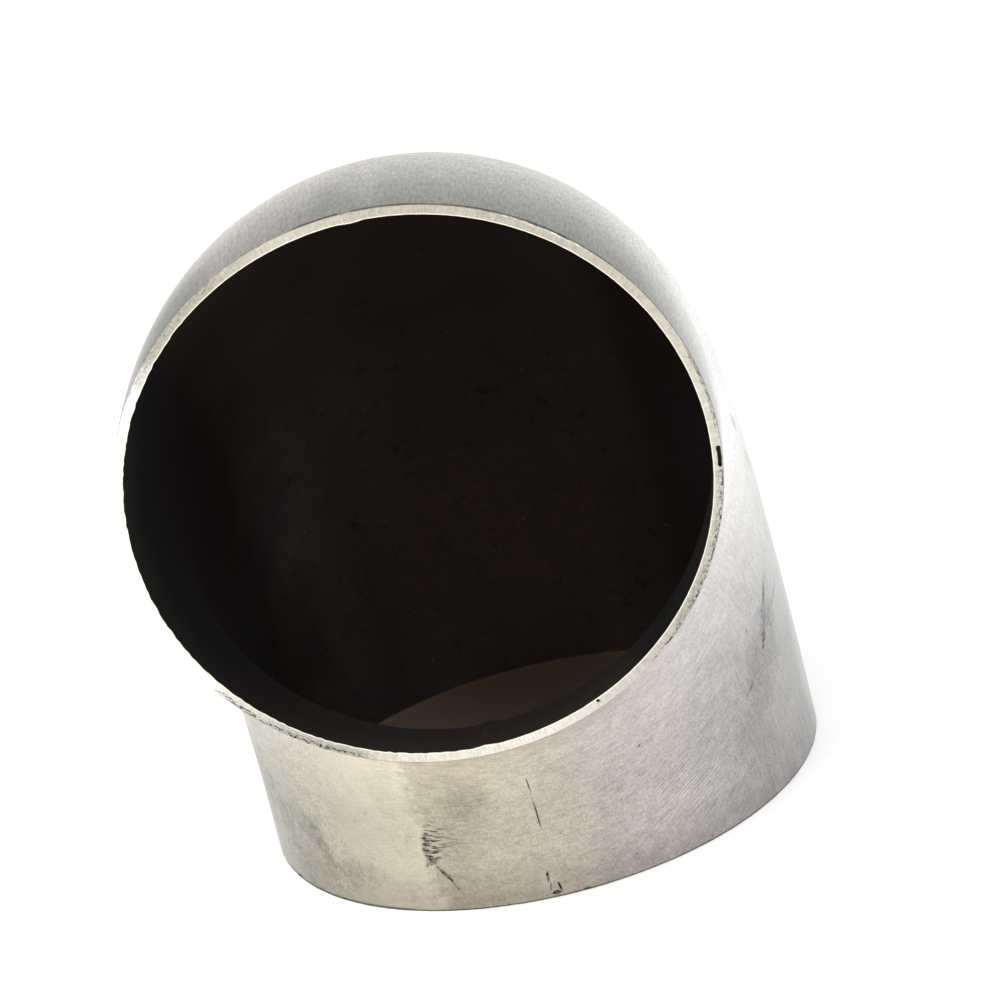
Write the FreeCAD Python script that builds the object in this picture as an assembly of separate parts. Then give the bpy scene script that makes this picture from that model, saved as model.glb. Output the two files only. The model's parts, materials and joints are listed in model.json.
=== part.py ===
"""A thin-walled 90 degree butt-weld pipe elbow, short radius, for 4 inch (DN 100) pipe.

The elbow is made of two pressed half shells, mirror images of each other about the plane of the
bend. Two V-groove weld seams join them, one along the outside of the bend (the extrados) and one
along the inside (the intrados). Both seams are ground flush with the shells.

Frame: millimetres, +Z up. The origin is the centre of the lower end face, and the elbow stands on
that face. The duct rises along +Z, bends through 90 degrees and leaves towards -Y. The plane of
the bend is X = 0, and the left half shell is the one on the -X side.
"""

import FreeCAD
import Part

import math
import os

OUTSIDE_DIAMETER = 114.3
WALL = 2.0
BEND_RADIUS = 101.6
BEND_ANGLE = 90.0
LOWER_LEG = 9.0
SEAM_ROOT_WIDTH = 1.2
SEAM_FACE_WIDTH = 4.0

OUTER_RADIUS = OUTSIDE_DIAMETER / 2
INNER_RADIUS = OUTER_RADIUS - WALL

UP = FreeCAD.Vector(0, 0, 1)
BEND_CENTRE = FreeCAD.Vector(0, -BEND_RADIUS, LOWER_LEG)
BEND_AXIS = FreeCAD.Vector(1, 0, 0)

# Bearings on the section circle are in degrees from the extrados (+Y), turning towards +X.
EXTRADOS = 0.0
INTRADOS = 180.0


def seam_half_angle(radius, width):
    """The bearing, in degrees, from a seam's middle to its edge on a circle of this radius."""
    return math.degrees(math.asin(width / 2 / radius))


SEAM_HALF_ANGLE_OUTSIDE = seam_half_angle(OUTER_RADIUS, SEAM_FACE_WIDTH)
SEAM_HALF_ANGLE_INSIDE = seam_half_angle(INNER_RADIUS, SEAM_ROOT_WIDTH)


def point_at(radius, bearing):
    """A point of the pipe's cross-section, in the plane of the lower end face."""
    angle = math.radians(bearing)
    return FreeCAD.Vector(radius * math.sin(angle), radius * math.cos(angle), 0)


def arc(radius, start, end):
    """The arc of the section circle from one bearing to another."""
    middle = point_at(radius, (start + end) / 2)
    return Part.Arc(point_at(radius, start), middle, point_at(radius, end)).toShape()


def wall_section(outer_start, outer_end, inner_start, inner_end):
    """A stretch of the pipe's wall: two concentric arcs, joined by the bevels of the weld groove."""
    edges = [
        arc(OUTER_RADIUS, outer_start, outer_end),
        Part.makeLine(point_at(OUTER_RADIUS, outer_end), point_at(INNER_RADIUS, inner_end)),
        arc(INNER_RADIUS, inner_end, inner_start),
        Part.makeLine(point_at(INNER_RADIUS, inner_start), point_at(OUTER_RADIUS, outer_start)),
    ]
    return Part.Face(Part.Wire(edges))


def along_the_duct(section):
    """Carries a section up the lower leg and round the bend, as one solid."""
    leg = section.extrude(UP * LOWER_LEG)
    bend_start = section.translated(UP * LOWER_LEG)
    bend = bend_start.revolve(BEND_CENTRE, BEND_AXIS, BEND_ANGLE)
    return leg.fuse(bend).removeSplitter().Solids[0]


def half_shell(extrados, intrados):
    """The wall from the groove of one seam to the groove of the other."""
    turn = math.copysign(1, intrados - extrados)
    outside = turn * SEAM_HALF_ANGLE_OUTSIDE
    inside = turn * SEAM_HALF_ANGLE_INSIDE
    return along_the_duct(
        wall_section(extrados + outside, intrados - outside, extrados + inside, intrados - inside)
    )


def weld_seam(bearing):
    """The weld metal that fills one groove, flush with the wall inside and outside."""
    return along_the_duct(
        wall_section(
            bearing - SEAM_HALF_ANGLE_OUTSIDE,
            bearing + SEAM_HALF_ANGLE_OUTSIDE,
            bearing - SEAM_HALF_ANGLE_INSIDE,
            bearing + SEAM_HALF_ANGLE_INSIDE,
        )
    )


def main():
    parts = {
        "half_shell_right": half_shell(EXTRADOS, INTRADOS),
        "half_shell_left": half_shell(EXTRADOS, -INTRADOS),
        "weld_seam_extrados": weld_seam(EXTRADOS),
        "weld_seam_intrados": weld_seam(INTRADOS),
    }
    os.makedirs("parts", exist_ok=True)
    for node, shape in parts.items():
        shape.exportStep(f"parts/{node}.step")
        print(f"{node}: valid {shape.isValid()}, {shape.ShapeType}, {shape.Volume:.1f} mm3")


main()
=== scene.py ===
import json
import math

import bpy
import numpy as np
from mathutils import Matrix, Vector


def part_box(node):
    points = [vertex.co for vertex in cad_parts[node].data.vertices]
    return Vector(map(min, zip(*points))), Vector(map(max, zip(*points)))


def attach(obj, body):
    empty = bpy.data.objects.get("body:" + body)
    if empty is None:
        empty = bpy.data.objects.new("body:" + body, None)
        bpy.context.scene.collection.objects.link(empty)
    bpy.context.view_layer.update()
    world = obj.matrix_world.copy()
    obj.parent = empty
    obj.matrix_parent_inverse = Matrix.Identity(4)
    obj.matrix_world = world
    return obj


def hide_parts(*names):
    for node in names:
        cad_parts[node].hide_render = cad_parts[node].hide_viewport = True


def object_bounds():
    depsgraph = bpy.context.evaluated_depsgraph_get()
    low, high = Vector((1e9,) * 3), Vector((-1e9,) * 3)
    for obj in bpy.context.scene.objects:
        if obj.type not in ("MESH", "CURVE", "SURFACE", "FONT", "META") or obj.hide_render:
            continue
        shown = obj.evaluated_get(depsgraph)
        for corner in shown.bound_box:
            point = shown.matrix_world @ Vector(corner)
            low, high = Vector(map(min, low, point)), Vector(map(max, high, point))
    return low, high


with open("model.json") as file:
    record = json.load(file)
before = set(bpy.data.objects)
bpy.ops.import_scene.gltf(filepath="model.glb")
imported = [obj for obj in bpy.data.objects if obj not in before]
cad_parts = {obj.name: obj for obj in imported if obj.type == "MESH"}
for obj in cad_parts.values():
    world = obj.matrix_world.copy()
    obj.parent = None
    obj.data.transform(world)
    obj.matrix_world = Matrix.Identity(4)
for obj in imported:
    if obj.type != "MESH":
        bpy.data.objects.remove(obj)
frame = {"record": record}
CAD_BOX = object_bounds()

# ---------------------------------------------------------------- sizes from the frame, in millimetres

MM = 0.001
MOUNTS = {mount["name"]: mount for mount in frame["record"]["mounts"]}
OUTER_RADIUS = MOUNTS["lower_end_outside"]["dims"]["r_mm"]
INNER_RADIUS = MOUNTS["lower_end_bore"]["dims"]["r_mm"]
WALL = OUTER_RADIUS - INNER_RADIUS
LEG = MOUNTS["lower_end_bore"]["dims"]["length_mm"]
BEND_RADIUS = -MOUNTS["front_weld_face"]["pos_m"][1] / MM
DUCT_LENGTH = LEG + BEND_RADIUS * math.pi / 2
SEAM_HALF_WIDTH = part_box("weld_seam_extrados")[1].x / MM

# A place on the duct is (bearing, along, depth). The bearing is in degrees round the section, from the
# extrados towards +X. Along is the distance in mm up the centreline from the lower end, or foot. Depth
# is the distance in mm below the outer surface.
EXTRADOS = 0.0
INTRADOS = 180.0
FULL_TURN = 360.0
ARC = math.radians(1) * OUTER_RADIUS

# ---------------------------------------------------------------- small shape functions


def wobble(value, pitch, seed):
    """Smooth random values from -1 to 1, a new one each pitch. They come round again after a full turn."""
    count = int(round(FULL_TURN / pitch))
    values = np.random.default_rng(seed).uniform(-1, 1, count)
    place = np.mod(value, FULL_TURN) / FULL_TURN * count
    low = np.floor(place).astype(int)
    share = place - low
    share = share * share * (3 - 2 * share)
    return values[low % count] * (1 - share) + values[(low + 1) % count] * share


def within(value, low, high, soft):
    """1 between low and high, falling smoothly to 0 over soft outside them."""
    rise = np.clip((value - low) / soft + 1, 0, 1)
    fall = np.clip((high - value) / soft + 1, 0, 1)
    share = np.minimum(rise, fall)
    return share * share * (3 - 2 * share)


def rounding(distance, radius):
    """How far a rounded edge lies below its surface, at this distance from the end."""
    gap = np.clip(radius - distance, 0, radius)
    return radius - np.sqrt(radius**2 - gap**2)


# ---------------------------------------------------------------- form of the hand-made duct

# Lengths and depths are in mm, bearings in degrees, and a softness is in the unit of what it softens.
OVAL = 0.5
OVAL_BEARING = -5.0
FLAT = 0.45
FLAT_BEARING = -8.0
FOOT_ROUNDING = 0.3
RIM_ROUNDING = 0.12
RIM_RECESS = 0.08
ROOT_HALF_WIDTH = 0.6
ROOT_BEAD = 0.28
ROOT_BEAD_HALF_WIDTH = 2.6
ROOT_RIPPLE = 0.06
ROOT_RIPPLE_PITCH = 1.3

# Shallow dents: depth, degrees from one to the next, degrees that they turn in a mm along, and seed.
DENTS = (
    (0.07, 18, 0.25, 11),
    (0.04, 11, -0.5, 12),
)


def sunk(bearing, along):
    """How far the pressed wall lies inside its nominal radius: oval towards the rim, flat where the
    extrados was ground, and with shallow dents all over."""
    share = along / DUCT_LENGTH
    oval = OVAL * share * (1 + np.cos(np.radians(2 * (bearing - OVAL_BEARING)))) / 2
    flat = FLAT * np.clip(np.cos(np.radians(bearing - FLAT_BEARING)), 0, 1) ** 4 * np.sin(share * math.pi / 2)
    dents = 0 * bearing
    for depth, pitch, turn, seed in DENTS:
        dents = dents + depth * (1 + wobble(bearing + turn * along, pitch, seed))
    return oval + flat + dents * np.sin(share * math.pi)


def duct_points(bearing, along, depth, forward):
    """Points of the wall. forward moves a point on past its own section, as the relief of an end does."""
    turn = np.clip(along - LEG, 0, None) / BEND_RADIUS
    rise = np.minimum(along, LEG)
    angle = np.radians(bearing)
    radius = OUTER_RADIUS - depth - sunk(bearing, along)
    outward = radius * np.cos(angle)
    x = radius * np.sin(angle)
    y = -BEND_RADIUS + (BEND_RADIUS + outward) * np.cos(turn) - forward * np.sin(turn)
    z = rise + (BEND_RADIUS + outward) * np.sin(turn) + forward * np.cos(turn)
    return np.stack([x, y, z], -1) * MM


# Torn stretches of the front rim's edges: start and end bearing, softness, size, pitch and seed.
INNER_TEAR = (183, 318, 6, 0.11, 1.0, 22)
OUTER_TEARS = (
    (215, 233, 2, 0.25, 1.0, 24),
    (35, 42, 1, 0.10, 1.2, 25),
    (99, 119, 2, 0.12, 0.8, 26),
)
EDGE_ROUGHNESS = 0.02


def inner_edge(bearing):
    """Raggedness of the front rim's inner edge, in mm into the duct. Its left and lower parts are torn."""
    start, end, soft, size, pitch, seed = INNER_TEAR
    tear = within(bearing, start, end, soft) * size * wobble(bearing, pitch, seed)
    return EDGE_ROUGHNESS * wobble(bearing, 1.1, 21) + tear


def outer_edge(bearing):
    """Raggedness of the front rim's outer edge, in mm outwards. It is only ever bitten inwards."""
    edge = EDGE_ROUGHNESS * (wobble(bearing, 1.3, 23) - 1)
    for start, end, soft, size, pitch, seed in OUTER_TEARS:
        edge = edge + within(bearing, start, end, soft) * size * (wobble(bearing, pitch, seed) - 1)
    return edge


# Holes in the front rim: how deep, start and end bearing and its softness, start and end depth in the
# wall and its softness, and raggedness. They are a gouge at the right, a groove above it, and a pinhole.
RIM_PITS = (
    (0.9, 95.0, 98.2, 0.7, 0.45, 0.85, 0.22, 0.12),
    (0.15, 73, 87, 2, 0.35, 0.45, 0.12, 0.0),
    (0.5, 155.2, 155.6, 0.3, 1.3, 1.5, 0.15, 0.0),
)


def rim_pits(bearing, depth):
    """How deep the front rim is eaten away, in mm."""
    edge = wobble(bearing, 1.7, 31)
    pits = 0 * bearing
    for size, start, end, soft, near, far, across_soft, ragged in RIM_PITS:
        across = within(depth, near + ragged * edge, far + 1.5 * ragged * edge, across_soft)
        pits = pits + size * within(bearing, start, end, soft) * across
    return pits


# Lines of the saw: depth, pitch, degrees that they lean in each mm of the wall, and seed.
SAW_LINES = (
    (0.03, 0.8, 0, 41),
    (0.02, 2.3, 3, 42),
)


def saw_relief(bearing, depth):
    """Relief of a sawn face, in mm below its highest line."""
    relief = 0 * bearing
    for size, pitch, lean, seed in SAW_LINES:
        relief = relief + size * (1 + wobble(bearing + lean * depth, pitch, seed))
    return relief


def seam_edge(depth):
    """Bearing from a seam's middle to its edge: the V-groove is wide outside and narrow at the root."""
    half = SEAM_HALF_WIDTH + (ROOT_HALF_WIDTH - SEAM_HALF_WIDTH) * depth / WALL
    return np.degrees(half / (OUTER_RADIUS - depth))


SEAM_EDGE = float(seam_edge(0.0))

# Where the grinder left a seam's toe undercut: bearing of the toe, start and end along the duct, depth.
UNDERCUTS = (
    (INTRADOS - SEAM_EDGE, 27, 39, 0.25),
    (INTRADOS - SEAM_EDGE, 49, 55, 0.25),
    (EXTRADOS + SEAM_EDGE, 66, 84, 0.2),
    (FULL_TURN - SEAM_EDGE, 98, 109, 0.2),
)
UNDERCUT_HALF_WIDTH = 0.17
UNDERCUT_TAPER = 0.15


def undercut(bearing, along):
    """Depth of the undercuts along the toes of the seams, in mm."""
    total = 0 * bearing
    for toe, start, end, depth in UNDERCUTS:
        length = within(along, start, end, UNDERCUT_TAPER * (end - start))
        total = total + depth * length * np.clip(1 - np.abs(bearing - toe) / UNDERCUT_HALF_WIDTH, 0, 1)
    return total


# The shallow weld crater just above the foot, where the intrados seam ends.
CRATER_BEARING = 178.2
CRATER_ALONG = 2.4
CRATER_HALF_WIDTH = 1.2
CRATER_HALF_HEIGHT = 1.8
CRATER_DEPTH = 0.2


def crater(bearing, along):
    """Depth of the weld crater, in mm."""
    across = (bearing - CRATER_BEARING) * ARC / CRATER_HALF_WIDTH
    up = (along - CRATER_ALONG) / CRATER_HALF_HEIGHT
    return CRATER_DEPTH * within(np.sqrt(across**2 + up**2), 0, 0.5, 0.5)


# Nicks in the foot's outer edge: bearing, half width and depth.
FOOT_NICKS = (
    (245.4, 0.5, 0.5),
    (256.3, 0.7, 0.4),
    (171.9, 0.4, 0.3),
)
NICK_SOFTNESS = 0.3
NICK_HEIGHT = 0.9


def foot_nicks(bearing, along):
    """Depth of the nicks in the foot's outer edge, in mm."""
    nicks = 0 * bearing
    for middle, half_width, depth in FOOT_NICKS:
        nicks = nicks + depth * within(bearing, middle - half_width, middle + half_width, NICK_SOFTNESS)
    return nicks * np.clip(1 - along / NICK_HEIGHT, 0, 1)


# Start and end bearing and softness of the painted shadow behind the rim's burr, on the left and on the
# right of the extrados, and of the wide part of the painted contact shadow along the foot.
BURR_SHADOW_LEFT = (350, 358, 2)
BURR_SHADOW_RIGHT = (1, 90, 1)
WIDE_FOOT_SHADOW = (212, 264, 6)
PAINTED_SHADOW_STRENGTH = 0.8


def burr_and_foot_shadow(bearing, along):
    """Painted shadow on the outside, where 1 is full: the burr's shadow behind the front rim, and the contact
    shadow along the foot's edge.
    """
    broken = 0.6 + 0.4 * wobble(bearing, 5, 62)
    burr = within(bearing, *BURR_SHADOW_LEFT) + within(bearing, *BURR_SHADOW_RIGHT) * broken
    behind_burr = burr * within(DUCT_LENGTH - along, 0.1, 0.45, 0.15)
    foot_width = 0.2 + 0.3 * within(bearing, *WIDE_FOOT_SHADOW)
    return PAINTED_SHADOW_STRENGTH * (behind_burr + within(along, 0, foot_width, 0.25))


# ---------------------------------------------------------------- meshes

OUTSIDE, INSIDE, SAWN = 0, 1, 2

# Rows of points: their distances from each end of the duct, their shares of the wall on the sawn ends,
# and the steps between those of the middle.
ROWS_AT_ENDS = (0.0, 0.1, 0.25, 0.45, 0.7, 1.0, 1.4, 1.9, 2.5, 3.3, 4.3, 5.5, 7.0)
RIM_STEPS = (0.04, 0.12, 0.22, 0.32, 0.42, 0.52, 0.65, 0.78, 0.9, 0.97)
SHELL_ROW_STEP = 4.0
SEAM_ROW_STEP = 0.45

# Columns of points, in degrees: their step and the least of it, the finer step and where it is used,
# and how far from a seam the nearest ones are. A seam's own columns are shares of its half width.
COLUMN_STEP = 0.4
SHORTEST_STEP = 0.09
FINE_COLUMN_STEP = 0.2
FINE_COLUMNS = ((34, 43), (94, 100), (154, 157), (214, 234))
TOE_COLUMNS = (0.0, 0.1, 0.2, 0.35, 0.5)
SEAM_COLUMNS = (-1.0, -0.95, -0.88, -0.76, -0.6, -0.4, -0.2, 0.0, 0.2, 0.4, 0.6, 0.76, 0.88, 0.95, 1.0)

# The bevel's lean fades out over one part in this many of a shell's width.
BEVEL_FADE = 12

# How far back from the rim a tear reaches, and the depths in mm of a pit or a mark at which its painted shade
# is full.
TEAR_REACH = 0.6
PIT_FULLY_SHADED = 0.45
MARK_FULLY_SHADED = 0.3

# The saw's lines at the foot are those at the rim, turned by this much.
FOOT_SAW_TURN = 77

# Edges that turn more than this are drawn sharp.
SHARP_EDGE = math.radians(35)


def shell_columns(low, high):
    """Bearings from one seam to the other, closer together beside the seams and where the rim is torn."""
    bearings = list(np.arange(low, high, COLUMN_STEP))
    for start, end in FINE_COLUMNS:
        if low < start and end < high:
            bearings += list(np.arange(start, end, FINE_COLUMN_STEP))
    bearings += [low + step for step in TOE_COLUMNS] + [high - step for step in TOE_COLUMNS]
    kept = [low]
    for bearing in sorted(bearings):
        if bearing - kept[-1] > SHORTEST_STEP:
            kept.append(bearing)
    kept[-1] = high
    return np.array(kept)


def shell_bearings(low, high):
    """The bearings of a half shell's points, whose edges follow the bevels of the weld grooves."""
    flat = shell_columns(low, high)[:, None]
    share = (flat - low) / (high - low)
    near_low = np.clip(1 - share * BEVEL_FADE, 0, 1)
    near_high = np.clip(1 - (1 - share) * BEVEL_FADE, 0, 1)
    return lambda depth: flat + (near_high - near_low) * (SEAM_EDGE - seam_edge(depth))


def seam_bearings(middle):
    """The bearings of a weld seam's points, from one bevel to the other."""
    share = np.array(SEAM_COLUMNS)[:, None]
    return lambda depth: middle + share * seam_edge(depth)


def wall_loop(row_step):
    """The wall cut lengthwise: up the outside, over the front rim, down the inside and over the foot."""
    ends = np.array(ROWS_AT_ENDS)
    middle_rows = int((DUCT_LENGTH - 2 * ends[-1]) / row_step)
    middle = np.linspace(ends[-1], DUCT_LENGTH - ends[-1], middle_rows)
    outside = np.concatenate([ends[:-1], middle, DUCT_LENGTH - ends[-2::-1]])
    rim = np.array(RIM_STEPS) * WALL
    along = np.concatenate([outside, 0 * rim + DUCT_LENGTH, outside[::-1], 0 * rim])
    depth = np.concatenate([0 * outside, rim, 0 * outside + WALL, rim[::-1]])
    return along, depth, len(outside), len(rim)


def root_bead(bearing, along):
    """Height of the weld's root bead inside the duct, along both seams, with the ripples of its pool."""
    off_seam = np.abs(np.mod(bearing + 90, 180) - 90) * ARC
    bead = np.clip(1 - (off_seam / ROOT_BEAD_HALF_WIDTH) ** 2, 0, 1)
    middle = np.clip(1 - (off_seam / ROOT_HALF_WIDTH) ** 2, 0, 1)
    ripple = np.sin(2 * math.pi * along / ROOT_RIPPLE_PITCH + 2 * wobble(along, 9, 61))
    return ROOT_BEAD * bead * (1 + 0.25 * wobble(along, 14, 63)) + ROOT_RIPPLE * middle * ripple


def shaped_wall(bearings, row_step):
    """Points, places and painted shade of a piece of the wall, one row of its loop for each column. The
    painted shade darkens the rim's pits, the undercuts and nicks outside, the burr's shadow and the foot's
    contact shadow.
    """
    along, depth, n_rows, n_rim = wall_loop(row_step)
    bearing = bearings(depth[None, :])
    along = along[None, :] + 0 * bearing
    depth = depth[None, :] + 0 * bearing
    outside = depth <= 0
    inside = depth >= WALL
    on_rim = along >= DUCT_LENGTH
    on_foot = along <= 0
    from_rim = DUCT_LENGTH - along
    share = depth / WALL
    at_rim = np.clip(1 - from_rim / TEAR_REACH, 0, 1)
    ragged = at_rim * ((1 - share) * outer_edge(bearing) - share * inner_edge(bearing))
    marks = undercut(bearing, along) + foot_nicks(bearing, along)
    rounded = rounding(from_rim, RIM_ROUNDING) + rounding(along, FOOT_ROUNDING)
    inward = outside * (marks + crater(bearing, along) + rounded)
    inward = inward + share * root_bead(bearing, along) - inside * rounding(along, FOOT_ROUNDING / 2)
    pits = rim_pits(bearing, depth)
    forward = on_rim * (-RIM_RECESS * (outside | inside) - saw_relief(bearing, depth) - pits)
    forward = forward + on_foot * saw_relief(bearing + FOOT_SAW_TURN, depth) * ~(outside | inside)
    points = duct_points(bearing, along, depth + inward - ragged, forward)
    # This mask is painted shade: it darkens the rim's pits and the undercuts and nicks outside as recesses,
    # and adds the painted shadow behind the burr and along the foot.
    painted_shade = on_rim * pits / PIT_FULLY_SHADED + outside * (marks / MARK_FULLY_SHADED + burr_and_foot_shadow(bearing, along))
    return points, np.stack([bearing, along, depth], -1), np.clip(painted_shade, 0, 1), n_rows, n_rim


def cap_faces(index, n_rows, n_rim):
    """The faces that close one end of the columns, along the bevel of a weld groove."""
    outside = index[:n_rows]
    rim = index[n_rows:n_rows + n_rim]
    inside = index[n_rows + n_rim:2 * n_rows + n_rim][::-1]
    foot = index[2 * n_rows + n_rim:]
    last = n_rows - 1
    faces = [[outside[k], outside[k + 1], inside[k + 1], inside[k]] for k in range(1, last - 1)]
    faces.append([outside[last - 1], outside[last], *rim, inside[last], inside[last - 1]])
    faces.append([outside[0], outside[1], inside[1], inside[0], *foot])
    return [[int(i) for i in face] for face in faces]


def build_piece(name, bearings, row_step, materials):
    """A closed mesh: the wall's loop at each column, joined by quads and capped along its bevels."""
    points, places, painted_shade, n_rows, n_rim = shaped_wall(bearings, row_step)
    n_columns, n_loop = painted_shade.shape
    index = np.arange(n_columns * n_loop).reshape(n_columns, n_loop)
    after = np.roll(index, -1, axis=1)
    sides = np.stack([index[:-1], index[1:], after[1:], after[:-1]], -1).reshape(-1, 4)
    step = np.arange(n_loop)
    zone = np.where(step < n_rows - 1, OUTSIDE, SAWN)
    zone = np.where((step >= n_rows + n_rim) & (step < 2 * n_rows + n_rim - 1), INSIDE, zone)
    first_cap = cap_faces(index[0], n_rows, n_rim)
    last_cap = [face[::-1] for face in cap_faces(index[-1], n_rows, n_rim)]
    faces = sides.tolist() + first_cap + last_cap
    zones = np.tile(zone, n_columns - 1).tolist() + [SAWN] * (len(first_cap) + len(last_cap))
    mesh = bpy.data.meshes.new(name)
    mesh.from_pydata(points.reshape(-1, 3).tolist(), [], faces)
    for material in materials:
        mesh.materials.append(material)
    mesh.polygons.foreach_set("material_index", zones)
    mesh.polygons.foreach_set("use_smooth", [True] * len(faces))
    mesh.set_sharp_from_angle(angle=SHARP_EDGE)
    attribute = mesh.attributes.new("place", "FLOAT_VECTOR", "POINT")
    attribute.data.foreach_set("vector", places.astype(np.float32).ravel())
    attribute = mesh.attributes.new("painted_shade", "FLOAT", "POINT")
    attribute.data.foreach_set("value", painted_shade.astype(np.float32).ravel())
    piece = bpy.data.objects.new(name, mesh)
    bpy.context.scene.collection.objects.link(piece)
    return piece


# ---------------------------------------------------------------- node trees


class Field:
    """A value that varies over a surface: the output of a node, with ordinary arithmetic."""

    def __init__(self, graph, socket):
        self.graph = graph
        self.socket = socket

    def __add__(self, other):
        return self.graph.math("ADD", self, other)

    def __sub__(self, other):
        return self.graph.math("SUBTRACT", self, other)

    def __rsub__(self, other):
        return self.graph.math("SUBTRACT", other, self)

    def __mul__(self, other):
        return self.graph.math("MULTIPLY", self, other)

    def __truediv__(self, other):
        return self.graph.math("DIVIDE", self, other)

    __radd__ = __add__
    __rmul__ = __mul__


class Graph:
    """The node tree of a material or a world. Each call makes a node and returns its output as a Field."""

    def __init__(self, owner):
        owner.use_nodes = True
        self.owner = owner
        self.tree = owner.node_tree
        self.tree.nodes.clear()

    def node(self, kind, inputs, output=0, **settings):
        made = self.tree.nodes.new(kind)
        for name, value in settings.items():
            setattr(made, name, value)
        for key, value in inputs.items():
            socket = made.inputs[key]
            if isinstance(value, Field):
                self.tree.links.new(value.socket, socket)
            elif socket.type == "RGBA":
                socket.default_value = (*value, 1.0)
            else:
                socket.default_value = value
        return Field(self, made.outputs[output]) if made.outputs else made

    def math(self, operation, a, b=0.0):
        return self.node("ShaderNodeMath", {0: a, 1: b}, operation=operation)

    def band(self, value, low, high):
        """0 where value is at low, 1 where it is at high, and smooth between."""
        inputs = {"Value": value, "From Min": low, "From Max": high}
        return self.node("ShaderNodeMapRange", inputs, interpolation_type="SMOOTHSTEP")

    def vector(self, x, y, z):
        return self.node("ShaderNodeCombineXYZ", {0: x, 1: y, 2: z})

    def noise(self, vector, scale, detail=3.0, roughness=0.55):
        inputs = {"Vector": vector, "Scale": scale, "Detail": detail, "Roughness": roughness}
        return self.node("ShaderNodeTexNoise", inputs, output="Fac")

    def specks(self, x, y, spacing, radius):
        """Small round dots, one in each square of this spacing: 1 on a dot and 0 elsewhere."""
        cells = self.vector(x / spacing, y / spacing, 0.0)
        inputs = {"Vector": cells, "Scale": 1.0}
        distance = self.node("ShaderNodeTexVoronoi", inputs, output="Distance", voronoi_dimensions="2D")
        return self.band(distance, radius / spacing, 0.5 * radius / spacing)

    def mix(self, share, a, b):
        return self.node("ShaderNodeMixRGB", {"Fac": share, "Color1": a, "Color2": b})

    def scaled(self, colour, by):
        return self.node("ShaderNodeVectorMath", {0: colour, "Scale": by}, operation="SCALE")

    def product(self, a, b):
        return self.node("ShaderNodeVectorMath", {0: a, 1: b}, operation="MULTIPLY")

    def ramp(self, position, stops):
        """A colour that follows stops of (position, colour)."""
        made = self.tree.nodes.new("ShaderNodeValToRGB")
        self.tree.links.new(position.socket, made.inputs[0])
        elements = made.color_ramp.elements
        while len(elements) < len(stops):
            elements.new(0.5)
        for element, (place, colour) in zip(elements, stops):
            element.position = place
            element.color = (*colour, 1.0)
        return Field(self, made.outputs["Color"])

    def surface(self, colour, metallic, roughness, height, relief):
        """Ends a material's tree. relief is the depth in mm of a height of 1."""
        bump = self.node("ShaderNodeBump", {"Strength": 1.0, "Distance": relief * MM, "Height": height})
        inputs = {"Base Color": colour, "Metallic": metallic, "Roughness": roughness, "Normal": bump}
        shader = self.node("ShaderNodeBsdfPrincipled", inputs)
        self.node("ShaderNodeOutputMaterial", {"Surface": shader})
        return self.owner


# How many times a mm the ragged edge of a spot turns.
BROAD = 0.12
MEDIUM = 0.4
FINE = 1.3


class Place:
    """Where a point of the duct's surface is, for a material: its place, its arc in mm, and its painted
    shade.
    """

    def __init__(self, graph):
        self.graph = graph
        place = graph.node("ShaderNodeAttribute", {}, output="Vector", attribute_name="place")
        self.bearing = graph.node("ShaderNodeSeparateXYZ", {0: place}, output="X")
        self.along = graph.node("ShaderNodeSeparateXYZ", {0: place}, output="Y")
        self.depth = graph.node("ShaderNodeSeparateXYZ", {0: place}, output="Z")
        # Painted shade of the pits, grooves and nicks, the burr's shadow and the foot's contact shadow.
        self.painted_shade = graph.node("ShaderNodeAttribute", {}, output="Fac", attribute_name="painted_shade")
        self.arc = self.bearing * ARC
        metres = graph.node("ShaderNodeTexCoord", {}, output="Object")
        self.space = graph.scaled(metres, 1 / MM)
        self.rough = {grain: graph.noise(self.space, grain, 5.0, 0.65) for grain in (BROAD, MEDIUM, FINE)}

    def lines(self, lean, pitch, length, detail=3.0):
        """Noise drawn out into lines. At a lean of 0 they run round the duct, at 90 along it."""
        turn = math.radians(lean)
        across = self.along * math.cos(turn) - self.arc * math.sin(turn)
        down = self.along * math.sin(turn) + self.arc * math.cos(turn)
        return self.graph.noise(self.graph.vector(across / pitch, down / length, 0.0), 1.0, detail, 0.6)

    def spot(self, bearing, along, half_round, half_along, lean, ragged, grain):
        """A ragged blot: 1 in its middle, 0 at its edge. A lean turns it towards a rising bearing."""
        turn = math.radians(lean)
        x = self.arc - bearing * ARC
        y = self.along - along
        u = (x * math.cos(turn) + y * math.sin(turn)) / half_round
        v = (y * math.cos(turn) - x * math.sin(turn)) / half_along
        reach = self.graph.math("SQRT", u * u + v * v)
        return self.graph.band(reach + 2 * ragged * (self.rough[grain] - 0.5), 1.0, 0.3)

    def between(self, low, high, soft, drift):
        """1 where the bearing, moved by drift, lies between low and high, falling to 0 over soft."""
        moved = self.bearing + drift
        rise = self.graph.band(moved, low - soft, low)
        fall = self.graph.band(moved, high + soft, high)
        return rise * fall

    def either(self, first, second, drift):
        """between for two stretches that don't overlap."""
        return self.between(*first, drift) + self.between(*second, drift)


def new_graph(name):
    """The empty node tree of a new material."""
    return Graph(bpy.data.materials.new(name))


def stops_round(stops):
    """Ramp stops from pairs of a bearing and a colour."""
    return [(bearing / FULL_TURN, colour) for bearing, colour in stops]


# ---------------------------------------------------------------- materials

METAL = 1.0
NOT_METAL = 0.0

# The depth in mm of a relief of 1 in the duct's surfaces.
RELIEF = 0.05

# Noises of the outside, with turns a mm, detail and roughness: the blasted grain, the mottling, the
# broad drift of the finish, and the patches in which the marks lie.
GRAIN = (2.1, 3.0, 0.7)
MOTTLE = (0.45, 5.0, 0.65)
DRIFT = (0.14, 4.0)
PATCHES = (0.9, 5.0, 0.7)

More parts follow.
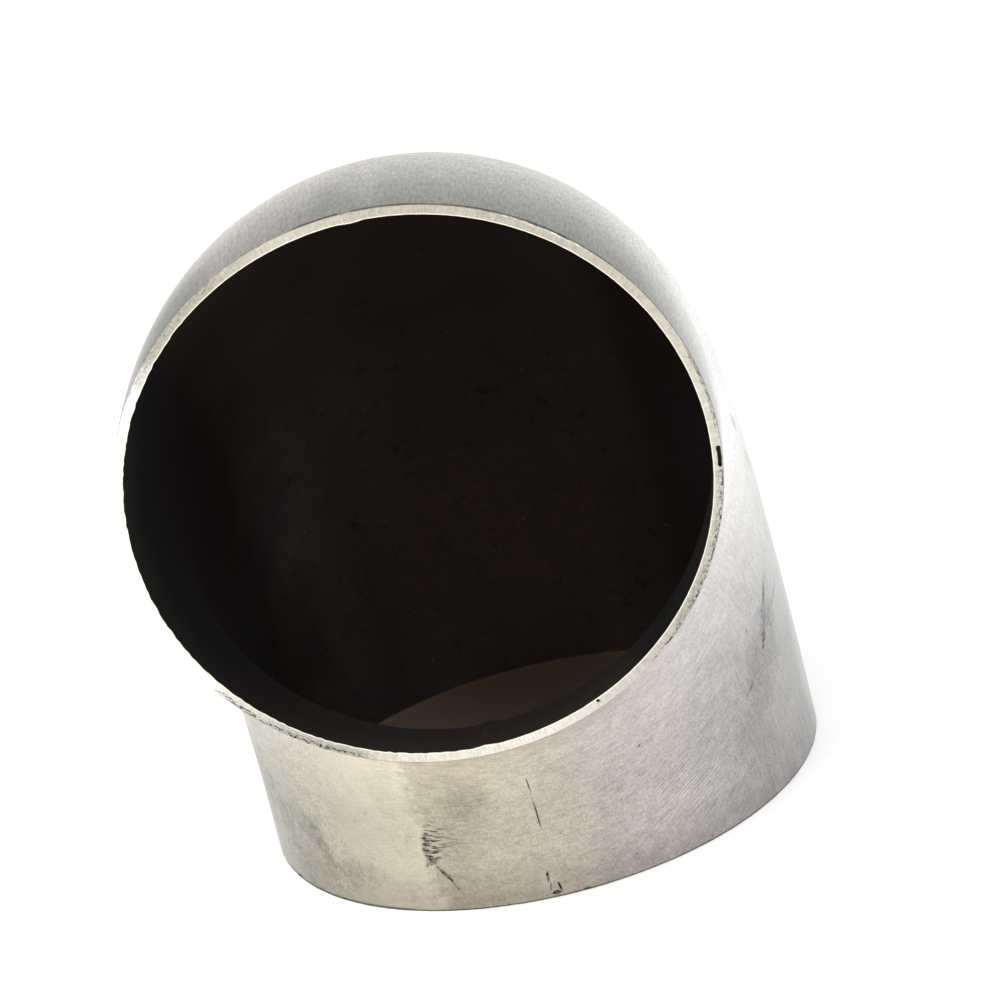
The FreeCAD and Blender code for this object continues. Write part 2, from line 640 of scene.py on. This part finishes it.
# The finish differs from place to place round the section, where different discs and hands worked it.
FINISH_ROUND = (
    (0, (0.54, 0.525, 0.48)),
    (12, (0.55, 0.54, 0.50)),
    (45, (0.56, 0.55, 0.51)),
    (70, (0.55, 0.55, 0.53)),
    (90, (0.51, 0.51, 0.50)),
    (105, (0.52, 0.51, 0.50)),
    (130, (0.53, 0.51, 0.50)),
    (150, (0.60, 0.56, 0.54)),
    (165, (0.57, 0.52, 0.48)),
    (178, (0.60, 0.55, 0.47)),
    (186, (0.57, 0.52, 0.43)),
    (194, (0.52, 0.47, 0.38)),
    (201, (0.52, 0.47, 0.38)),
    (204, (0.66, 0.61, 0.50)),
    (213, (0.66, 0.61, 0.50)),
    (228, (0.56, 0.53, 0.44)),
    (248, (0.50, 0.47, 0.39)),
    (270, (0.56, 0.54, 0.49)),
    (318, (0.545, 0.53, 0.475)),
    (334, (0.67, 0.64, 0.58)),
    (360, (0.54, 0.525, 0.48)),
)

# Smudges and scratches, and two broad patches of painted shade on the right side: bearing, along, half
# widths round and along, lean, raggedness, grain, darkness.
MARKS = (
    (94, 12, 7, 30, 0, 0.5, BROAD, -0.22),
    (116, 38, 18, 11, -50, 0.9, BROAD, 0.20),
    (125, 20, 12, 16, 0, 0.9, BROAD, 0.10),
    (103, 43.5, 5.5, 0.8, -8, 1.2, FINE, 0.45),
    (112, 45, 11, 1.5, -59, 1.3, MEDIUM, 0.38),
    (114, 41, 5, 1.1, -59, 0.9, FINE, 0.60),
    (109.5, 50, 4.5, 1.0, -66, 1.0, FINE, 0.50),
    (111, 45, 5, 10, -20, 1.0, MEDIUM, 0.20),
    (123.5, 33, 4.2, 1.0, -39, 1.2, FINE, 0.35),
    (230, 13, 3, 12, -16, 1.6, MEDIUM, 0.22),
    (222, 8.5, 7, 5.5, 0, 1.6, MEDIUM, 0.18),
    (245, 18, 5, 14, -10, 1.4, MEDIUM, 0.22),
    (254, 22, 10, 20, 0, 1.0, MEDIUM, 0.34),
    (238, 13, 14, 17, 0, 0.9, BROAD, 0.16),
    (235, 20, 7, 10, -10, 1.5, MEDIUM, 0.16),
    (192, 47, 9, 20, 0, 1.0, BROAD, 0.19),
    (202.4, 20, 1.1, 12, 4, 1.2, FINE, 0.55),
    (201.8, 14.5, 1.4, 2.8, 10, 1.2, FINE, 0.60),
    (199.4, 8.3, 0.55, 5.4, -28, 1.3, FINE, 0.80),
    (154.3, 48.3, 0.4, 1.1, 40, 0.5, FINE, 0.65),
    (120, 51.3, 0.35, 0.9, 30, 0.5, FINE, 0.45),
    (179.1, 4.9, 0.42, 1.7, 6, 0.2, FINE, 0.95),
    (179.0, 2.6, 0.25, 1.3, 12, 0.2, FINE, 0.60),
    (178.1, 1.1, 1.3, 0.55, 0, 0.3, FINE, 0.95),
    (177.2, 2.3, 0.35, 1.5, -12, 0.2, FINE, 0.85),
    (318, 165, 14, 13, 0, 0.5, BROAD, 0.30),
    # Painted shade: these two broad patches grey the right side's edge, which the light would burn out white.
    (86, 122, 9, 26, 0, 0.5, BROAD, 0.08),
    (95, 76, 7, 36, 0, 0.5, BROAD, 0.09),
    (94.6, 103, 1.3, 9, 0, 1.2, FINE, 0.50),
    (93.8, 80, 1.3, 6, 0, 1.2, FINE, 0.40),
    (355, 161, 5, 10, 0, 1.0, MEDIUM, 0.16),
    (3, 156, 3.5, 18, 0, 0.5, BROAD, -0.14),
)
DARKEST_MARK = 0.05

# Where the surface is torn into dashes that lie round the duct. The fields are those of MARKS.
ROUGH_STREAKS = (
    (201.0, 24, 3.0, 15, 5, 0.8, MEDIUM, 0.75),
    (198.0, 24, 6.5, 13, 5, 0.8, MEDIUM, 0.30),
)

# Where a hand smeared it, and where the grinder left ripples, as in MARKS but without the darkness.
SMEAR = (110, 47, 17, 7, -56, 0.9, MEDIUM)
RIPPLE_PATCH = (143, 21, 17, 21, 0, 1.0, MEDIUM)

# Lean of the ripples, and their pitch in mm.
RIPPLE_LEAN = math.radians(-35)
RIPPLE_PITCH = 1.15

# Lines on the outside: their lean in degrees, pitch and length in mm and, for some, their detail.
ROUND_LINES = (-3, 1.6, 4)
SLANT_LINES = (-35, 1.0, 5, 2.0)
LONG_LINES = (84, 0.7, 11)
LEATHER_LINES = (90, 0.55, 1.9)
SMEAR_LINES = (-56, 0.5, 7)
DASHES = (2, 0.9, 2.4, 2.0)

# Spacing and radius of scattered specks, in mm: dark ones outside, and pale ones inside.
DARK_SPECKS = (11.0, 0.28)
PALE_SPECKS = (23.0, 0.35)

# The stretches of bearing that each way of grinding covered, and how softly they end.
ROUND_GRINDING = (160, 203, 10)
SLANT_GRINDING = (132, 158, 10)
LONG_GRINDING = ((60, 126, 12), (300, 350, 10))
POLISHED = (206, 219, 6)
SCUFFED = (230, 262, 8)

# The back, on the right and on the left of the extrados, which the steel's painted shade darkens.
BACK_OUTSIDE = ((-20, 55, 25), (275, 380, 20))

# Painted shade: brightness of the steel at the foot, and where along the duct it changes and by how much.
# The steel is painted darker at the foot and near the rim and lighter in the middle, as the light falls on
# it.
PAINTED_TONE_AT_FOOT = 0.58
PAINTED_SHADE_CHANGES = (
    (0, 14, 0.12),
    (20, 115, 0.5),
    (138, 170, -0.72),
)


def steel_painted_shade(g, p):
    """Painted shade on the steel along the duct: darker at the foot and the rim, and round the back, for how
    the light falls there.
    """
    back = p.either(*BACK_OUTSIDE, 0.0)
    tone = PAINTED_TONE_AT_FOOT
    for start, end, change in PAINTED_SHADE_CHANGES:
        tone = tone + change * g.band(p.along, start, end)
    return tone - 0.36 * back * g.band(p.along, 128, 95)


def grinding_lines(p, shift):
    """Fine lines that the discs left: round the duct in front, aslant beside them, and along its sides."""
    round_lines = (p.lines(*ROUND_LINES) - 0.5) * p.between(*ROUND_GRINDING, shift)
    slant_lines = (p.lines(*SLANT_LINES) - 0.5) * p.between(*SLANT_GRINDING, shift)
    long_lines = (p.lines(*LONG_LINES) - 0.5) * p.either(*LONG_GRINDING, shift)
    return round_lines + slant_lines + long_lines


def grinding_ripples(g, p, drift):
    """The low waves of RIPPLE_PATCH."""
    turned = p.along * math.cos(RIPPLE_LEAN) - p.arc * math.sin(RIPPLE_LEAN)
    return g.math("SINE", turned * (2 * math.pi / RIPPLE_PITCH) + 14 * drift) * p.spot(*RIPPLE_PATCH)


def marked(g, p, shade):
    """shade, darkened by the smudges and scratches, the torn streaks, the smear and scattered specks, and by
    painted shade: two broad patches on the right side, the recesses, the burr's shadow and the foot's contact
    shadow.
    """
    patchy = 0.45 + 1.1 * g.band(g.noise(p.space, *PATCHES), 0.35, 0.65)
    for *spot, darkness in MARKS:
        shade = shade * g.math("MAXIMUM", 1 - darkness * p.spot(*spot) * patchy, DARKEST_MARK)
    dashes = g.band(p.lines(*DASHES), 0.47, 0.57)
    for *spot, darkness in ROUGH_STREAKS:
        shade = shade * (1 - darkness * dashes * p.spot(*spot))
    streaks = g.band(p.lines(*SMEAR_LINES), 0.50, 0.66)
    shade = shade * (1 - 0.5 * streaks * p.spot(*SMEAR))
    shade = shade * (1 - 0.5 * g.specks(p.arc, p.along, *DARK_SPECKS))
    # Painted shade: the pits, undercuts, nicks, the burr's shadow and the foot's contact shadow are darkened
    # here.
    return shade * (1 - 0.85 * p.painted_shade)


def outside_steel(name):
    """Blasted and ground stainless steel: satin, with grain, grinding lines, smudges and scratches."""
    g = new_graph(name)
    p = Place(g)
    grain = g.noise(p.space, *GRAIN) - 0.5
    mottle = g.noise(p.space, *MOTTLE) - 0.5
    drift = g.noise(p.space, *DRIFT) - 0.5
    leather = (p.lines(*LEATHER_LINES) - 0.5) * g.band(p.along, 105, 150)
    shift = 30 * drift
    lines = grinding_lines(p, shift)
    ripples = grinding_ripples(g, p, drift)
    coarse = 1 - 0.4 * p.between(*POLISHED, shift) + 0.6 * p.between(*SCUFFED, shift)
    shade = 1 + coarse * (1.1 * grain + 0.5 * mottle) + 0.35 * drift
    shade = shade + 0.6 * lines + 1.4 * leather + 0.10 * ripples
    colour = g.ramp((p.bearing + 9 * drift + 5 * mottle) / FULL_TURN, stops_round(FINISH_ROUND))
    # steel_painted_shade paints the shade of the light's fall into the colour.
    colour = g.scaled(colour, steel_painted_shade(g, p) * marked(g, p, shade))
    roughness = 0.30 + 0.12 * mottle + 0.2 * p.painted_shade
    height = grain + 1.5 * lines + 0.8 * mottle + 0.5 * ripples
    return g.surface(colour, METAL, roughness, height, RELIEF)


# The scale's colour inside the duct, at each distance along it from the foot to the rim, with painted shade:
# it is painted much darker towards the rim, where the lamps reach in, and lighter deep in the duct.
SCALE_COLOUR_AND_SHADE_ALONG = (
    (0, (0.110, 0.108, 0.108)),
    (40, (0.100, 0.098, 0.097)),
    (70, (0.044, 0.041, 0.037)),
    (95, (0.0215, 0.0200, 0.0178)),
    (125, (0.0165, 0.0152, 0.0135)),
    (148, (0.0100, 0.0092, 0.0083)),
    (168, (0.0125, 0.0113, 0.0098)),
)

# Tints of the scale, and the colour of the foot's inner edge, which is bare.
CLEAN = (1.0, 1.0, 1.0)
RUSTY = (1.14, 0.93, 0.88)
FOOT_EDGE = (0.75, 0.62, 0.48)

# Noises of the inside, with turns a mm, detail and roughness, and its drawing marks as lines.
CLOUDS = (0.06, 5.0, 0.65)
SCALE_GRAIN = (1.2, 4.0, 0.65)
SCALE_BLOTS = (0.22, 4.0, 0.7)
RUST_PATCHES = (0.03, 4.0, 0.6)
DRAWING_MARKS = (0, 0.5, 12)

# Stretches of the inside, and how softly they end: the back, the right, the left, and the duct's floor.
# They bound the painted light and shade of the inside.
BACK_INSIDE = ((-20, 16, 16), (340, 376, 16))
RIGHT_INSIDE = (42, 138, 12)
LEFT_INSIDE = (215, 292, 14)
FAR_LEFT_INSIDE = (245, 292, 30)
FLOOR_INSIDE = (152, 212, 14)


def inside_painted_light(g, p, cloud):
    """Painted light and shade on the scale: lighter low down at the back, and darker on the sides and towards
    the rim, where the lamps reach in.
    """
    off_floor = 1 - p.between(*FLOOR_INSIDE, 0.0)
    far_left = p.between(*FAR_LEFT_INSIDE, 30 * (cloud - 0.5)) * g.band(p.along, 172, 142)
    painted_light = 1 + 0.8 * p.either(*BACK_INSIDE, 0.0) * g.band(p.along, 75, 35)
    painted_light = painted_light * (1 - 0.6 * p.between(*RIGHT_INSIDE, 0.0))
    painted_light = painted_light * (1 - 0.7 * far_left)
    painted_light = painted_light * (1 - 0.35 * p.between(*LEFT_INSIDE, 0.0))
    return painted_light * (1 - 0.45 * g.band(p.along, 115, 138) * off_floor)


def inside_scale(name):
    """The inside: dark scale that is browner deep in the duct, with faint drawing marks round it, and painted
    light and shade along and round it.
    """
    g = new_graph(name)
    p = Place(g)
    cloud = g.noise(p.space, *CLOUDS)
    grain = g.noise(p.space, *SCALE_GRAIN)
    rings = p.lines(*DRAWING_MARKS)
    stops = [(along / DUCT_LENGTH, colour) for along, colour in SCALE_COLOUR_AND_SHADE_ALONG]
    colour = g.ramp(p.along / DUCT_LENGTH, stops)
    # Painted light and shade: inside_painted_light lightens the back low down and darkens the sides and the
    # rim.
    shade = (0.4 * cloud + 0.7 * grain + 0.4 * rings + 0.25) * inside_painted_light(g, p, cloud)
    shade = shade * (1 - 0.4 * g.band(g.noise(p.space, *SCALE_BLOTS), 0.60, 0.68))
    shade = shade + 1.5 * g.specks(p.arc, p.along, *PALE_SPECKS)
    rusty = g.band(g.noise(p.space, *RUST_PATCHES), 0.42, 0.58)
    colour = g.product(g.scaled(colour, shade), g.mix(rusty, CLEAN, RUSTY))
    colour = g.mix(g.band(p.along, 1.3, 0.7), colour, FOOT_EDGE)
    return g.surface(colour, NOT_METAL, 0.5, 0.6 * grain + 0.8 * rings, RELIEF)


# The sawn ends' colour at each bearing, with painted sheen: their brightness round the rim stands in for how
# the saw-marked face catches the light, and from 244 to 300 degrees it is painted near white, where the lit
# rim burns out.
RIM_COLOUR_AND_SHEEN = (
    (0, (0.40, 0.37, 0.31)),
    (30, (0.38, 0.355, 0.30)),
    (64, (0.43, 0.40, 0.34)),
    (84, (0.48, 0.46, 0.41)),
    (108, (0.45, 0.43, 0.39)),
    (128, (0.36, 0.34, 0.30)),
    (148, (0.44, 0.42, 0.38)),
    (166, (0.60, 0.57, 0.52)),
    (198, (0.56, 0.53, 0.46)),
    (207, (0.36, 0.34, 0.30)),
    (218, (0.38, 0.37, 0.33)),
    (232, (0.54, 0.53, 0.49)),
    (244, (0.84, 0.84, 0.82)),
    (300, (0.84, 0.84, 0.82)),
    (311, (0.38, 0.36, 0.31)),
    (330, (0.36, 0.34, 0.29)),
    (345, (0.47, 0.45, 0.38)),
    (360, (0.40, 0.37, 0.31)),
)

# Flecks that the saw and the deburring disc tore out: start and end bearing, how deep they reach into
# the wall, and how dark they are.
RIM_FLECKS = (
    (30, 45, 0.5, -0.8),
    (75, 90, 0.9, 0.60),
    (98, 140, 0.7, 0.85),
    (100, 132, 1.8, 0.40),
    (208, 234, 1.1, 0.95),
    (204, 216, 1.5, 0.45),
    (302, 330, 1.8, 0.35),
)

# The burr's colour and its width in mm, and the colour of the painted shade in the pits.
BURR = (0.78, 0.75, 0.60)
BURR_WIDTH = 0.35
PIT_SHADE = (0.02, 0.018, 0.015)

# Pitch round the section and reach across the wall of the saw's lines and of the torn flecks, in mm.
SAW_PITCH = 0.3
SAW_REACH = 2.5
FLECK_PITCH = 1.1
FLECK_REACH = 0.4

# Noises of the sawn ends, with turns a mm, detail and roughness.
EDGE_MOTTLE = (1.6, 5.0, 0.65)
EDGE_DRIFT = (0.3, 3.0)


def sawn_edge(name):
    """A sawn end: bare steel with fine saw lines across the wall, and a bright burr on its inner edge. Its
    brightness round the rim is painted sheen, and its pits are painted with shade.
    """
    g = new_graph(name)
    p = Place(g)
    saw = g.noise(g.vector(p.arc / SAW_PITCH, p.depth / SAW_REACH, 0.0), 1.0, 3.0) - 0.5
    mottle = g.noise(p.space, *EDGE_MOTTLE) - 0.5
    drift = g.noise(p.space, *EDGE_DRIFT) - 0.5
    flecks = g.noise(g.vector(p.arc / FLECK_PITCH, p.depth / FLECK_REACH, 0.0), 1.0, 4.0, 0.7)
    torn = g.band(flecks, 0.48, 0.56)
    # Painted sheen: the rim's colour follows the bearing, as the light catches it.
    colour = g.ramp((p.bearing + 8 * drift) / FULL_TURN, stops_round(RIM_COLOUR_AND_SHEEN))
    shade = 1 + 0.7 * saw + 0.7 * mottle
    for start, end, reach, darkness in RIM_FLECKS:
        zone = p.between(start, end, 3, 6 * drift) * g.band(p.depth, reach, 0.5 * reach)
        shade = shade * (1 - darkness * torn * zone)
    colour = g.scaled(colour, shade)
    burr = g.band(p.depth, WALL - BURR_WIDTH, WALL - 0.1)
    colour = g.mix(burr, colour, BURR)
    # Painted shade: the pits of the rim are painted near black.
    shaded_pits = g.band(p.painted_shade + 0.8 * (p.rough[FINE] - 0.5), 0.35, 0.60)
    colour = g.mix(shaded_pits, colour, PIT_SHADE)
    return g.surface(colour, METAL, 0.42 + 0.15 * mottle, saw + mottle, RELIEF)


# ---------------------------------------------------------------- the object's pieces


def make_materials(prefix):
    """The materials of a piece, in the order OUTSIDE, INSIDE, SAWN."""
    return [
        outside_steel(prefix + "_outside"),
        inside_scale(prefix + "_inside"),
        sawn_edge(prefix + "_sawn_edge"),
    ]


def build_duct():
    """The two half shells and the two weld seams, each standing in for its CAD node."""
    shell = make_materials("shell")
    weld = make_materials("weld")
    right = shell_bearings(EXTRADOS + SEAM_EDGE, INTRADOS - SEAM_EDGE)
    left = shell_bearings(INTRADOS + SEAM_EDGE, FULL_TURN - SEAM_EDGE)
    outer = seam_bearings(EXTRADOS)
    inner = seam_bearings(INTRADOS)
    for piece, node, slot in (
        (build_piece("shell_right", right, SHELL_ROW_STEP, shell), "half_shell_right", "shell_steel"),
        (build_piece("shell_left", left, SHELL_ROW_STEP, shell), "half_shell_left", "shell_steel"),
        (build_piece("seam_extrados", outer, SEAM_ROW_STEP, weld), "weld_seam_extrados", "weld_metal"),
        (build_piece("seam_intrados", inner, SEAM_ROW_STEP, weld), "weld_seam_intrados", "weld_metal"),
    ):
        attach(piece, "root")
        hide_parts(node)


# ---------------------------------------------------------------- studio

FLOOR_SIDE = 8.0
PAPER = (0.97, 0.97, 0.97)
PAPER_GRAIN = (0.94, 0.94, 0.94)
FLOOR_BOUNCE_IN_DUCT = (0.93, 0.70, 0.58)
FLOOR_RELIEF = 0.01

# Light of the world: brightness, and the height of the direction on an axis where it starts and is full.
# A dark room lies in front, and a white sweep stands behind and curves over the object.
WORLD_LIGHT = (
    (0.03, "Y", 0.1, -0.7),
    (0.90, "Y", -0.1, 0.7),
    (0.60, "Z", 0.5, 0.9),
)

SOFTBOX_DISTANCE = 1.4

# Softboxes: name, azimuth, elevation, width and height in metres, and power in watts.
SOFTBOXES = (
    ("high_left", -90, 48, 0.9, 0.8, 4.2),
    ("high_left_front", -45, 48, 0.9, 0.8, 10.4),
    ("high_right_front", 45, 48, 0.9, 0.8, 7.8),
    ("low_left", -90, 14, 0.9, 0.5, 1.7),
    ("low_left_front", -45, 14, 0.9, 0.5, 8.5),
    ("low_right_front", 45, 14, 0.9, 0.5, 8.9),
    ("low_right", 90, 14, 0.9, 0.5, 4.9),
)

# The camera: where it aims, its distance in metres, its angles in degrees, and its lens and sensor in mm.
CAMERA_AIM = Vector((7.09, -25.86, 73.38)) * MM
CAMERA_DISTANCE = 1.2837
CAMERA_AZIMUTH = 5.49
CAMERA_ELEVATION = 22.335
CAMERA_ROLL = -14.145
CAMERA_LENS = 231.375
CAMERA_SENSOR = 36.0


def direction(azimuth, elevation):
    """The unit vector towards an azimuth, in degrees from the front (-Y) towards +X, and an elevation."""
    a = math.radians(azimuth)
    e = math.radians(elevation)
    return Vector((math.sin(a) * math.cos(e), -math.cos(a) * math.cos(e), math.sin(e)))


def add_object(name, data, back, target, distance, roll=0.0):
    """An object that looks at target from this distance, level apart from its roll."""
    made = bpy.data.objects.new(name, data)
    bpy.context.scene.collection.objects.link(made)
    level = back.to_track_quat("Z", "Y").to_matrix().to_4x4()
    place = Matrix.Translation(target + back * distance)
    made.matrix_world = place @ level @ Matrix.Rotation(math.radians(roll), 4, "Z")
    return made


def make_floor():
    """White paper, tinted under the duct with painted brown bounce light from the rusty inside."""
    mesh = bpy.data.meshes.new("floor")
    half = FLOOR_SIDE / 2
    corners = [(-half, -half, 0), (half, -half, 0), (half, half, 0), (-half, half, 0)]
    mesh.from_pydata(corners, [], [(0, 1, 2, 3)])
    g = new_graph("floor_paper")
    metres = g.node("ShaderNodeTexCoord", {}, output="Object")
    tone = g.noise(metres, 3.0)
    colour = g.mix(tone, PAPER, PAPER_GRAIN)
    reach = g.node("ShaderNodeVectorMath", {0: metres}, output="Value", operation="LENGTH")
    # Painted bounce light: the floor inside the duct is tinted brown, as light reflected off the rusty inside
    # would tint it.
    shut_in = g.band(reach, OUTER_RADIUS * MM, INNER_RADIUS * MM)
    colour = g.mix(shut_in, colour, FLOOR_BOUNCE_IN_DUCT)
    mesh.materials.append(g.surface(colour, NOT_METAL, 0.9, tone, FLOOR_RELIEF))
    floor = bpy.data.objects.new("floor", mesh)
    bpy.context.scene.collection.objects.link(floor)


def make_backdrop():
    """The light and the background that the world gives."""
    world = bpy.data.worlds.new("studio")
    bpy.context.scene.world = world
    g = Graph(world)
    towards = g.node("ShaderNodeTexCoord", {}, output="Generated")
    brightness = 0.0
    for level, axis, start, full in WORLD_LIGHT:
        height = g.node("ShaderNodeSeparateXYZ", {0: towards}, output=axis)
        brightness = brightness + level * g.band(height, start, full)
    light = g.node("ShaderNodeBackground", {"Color": g.vector(brightness, brightness, brightness)})
    g.node("ShaderNodeOutputWorld", {"Surface": light})


def make_softboxes():
    """The lights, none of which the camera sees."""
    middle = (CAD_BOX[0] + CAD_BOX[1]) / 2
    for name, azimuth, elevation, width, height, power in SOFTBOXES:
        light = bpy.data.lights.new(name, "AREA")
        light.shape = "RECTANGLE"
        light.size = width
        light.size_y = height
        light.energy = power
        lamp = add_object(name, light, direction(azimuth, elevation), middle, SOFTBOX_DISTANCE)
        lamp.visible_camera = False


def make_camera():
    """The camera, which stands where the photograph's did."""
    camera = bpy.data.cameras.new("camera")
    camera.sensor_width = CAMERA_SENSOR
    camera.lens = CAMERA_LENS
    back = direction(CAMERA_AZIMUTH, CAMERA_ELEVATION)
    shot = add_object("camera", camera, back, CAMERA_AIM, CAMERA_DISTANCE, CAMERA_ROLL)
    bpy.context.scene.camera = shot


build_duct()
make_floor()
make_backdrop()
make_softboxes()
make_camera()
bpy.context.scene.view_settings.view_transform = "Standard"
